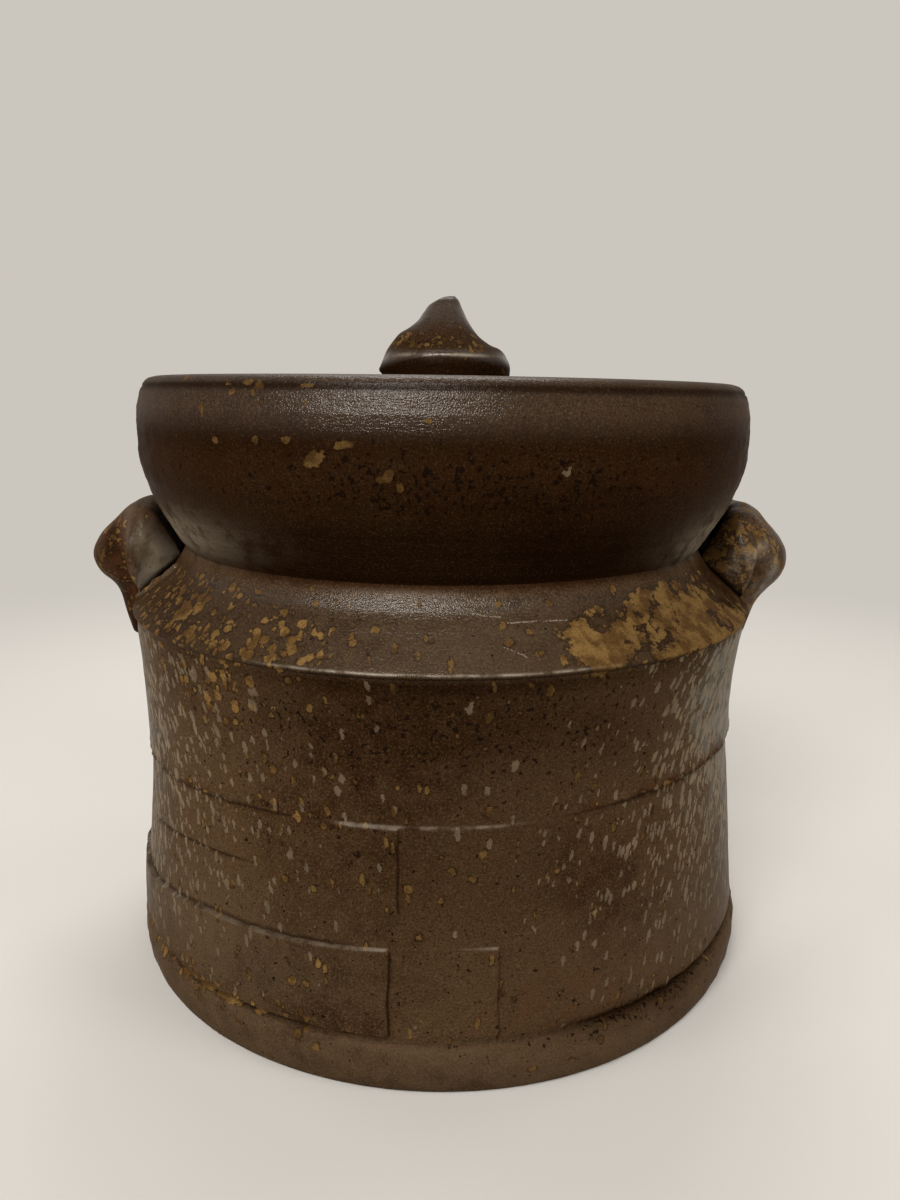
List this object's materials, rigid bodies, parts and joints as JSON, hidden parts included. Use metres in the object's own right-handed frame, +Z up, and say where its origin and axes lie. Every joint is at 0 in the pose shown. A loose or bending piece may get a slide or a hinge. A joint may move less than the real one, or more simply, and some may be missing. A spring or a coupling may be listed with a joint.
{
  "type": "lidded water jar",
  "caption": "Waisted stoneware water jar with a flared mouth bowl, ear lugs on its shoulder and a round sunken lid with a pinched knob that lifts off.",
  "frame": {"origin": "centre of the standing face, on the jar's axis", "axes": "+Z up the jar's axis towards the knob, X through both ears, -Y towards the front that the picture shows"},
  "size_m": [0.2184, 0.1904, 0.1946],
  "materials": {
    "jar_clay": "unglazed wood-fired stoneware, dark brown with ochre ash flecks, satin",
    "ear_clay": "unglazed wood-fired stoneware, red-brown with ochre ash, satin",
    "lid_clay": "unglazed wood-fired stoneware, dark brown, satin to semi-gloss"
  },
  "bodies": {
    "jar": {"base_slab": "jar_clay", "body_wall": "jar_clay", "shoulder_ring": "jar_clay", "mouth_bowl": "jar_clay", "lid_ledge": "jar_clay", "left_ear": "ear_clay", "right_ear": "ear_clay"},
    "lid": {"lid_plate": "lid_clay", "lid_knob": "lid_clay"}
  },
  "joints": [
    {"name": "lid_lift", "type": "slide", "parent": "jar", "child": "lid", "axis": [0, 0, 1], "range_m": [0, 0.09]}
  ]
}
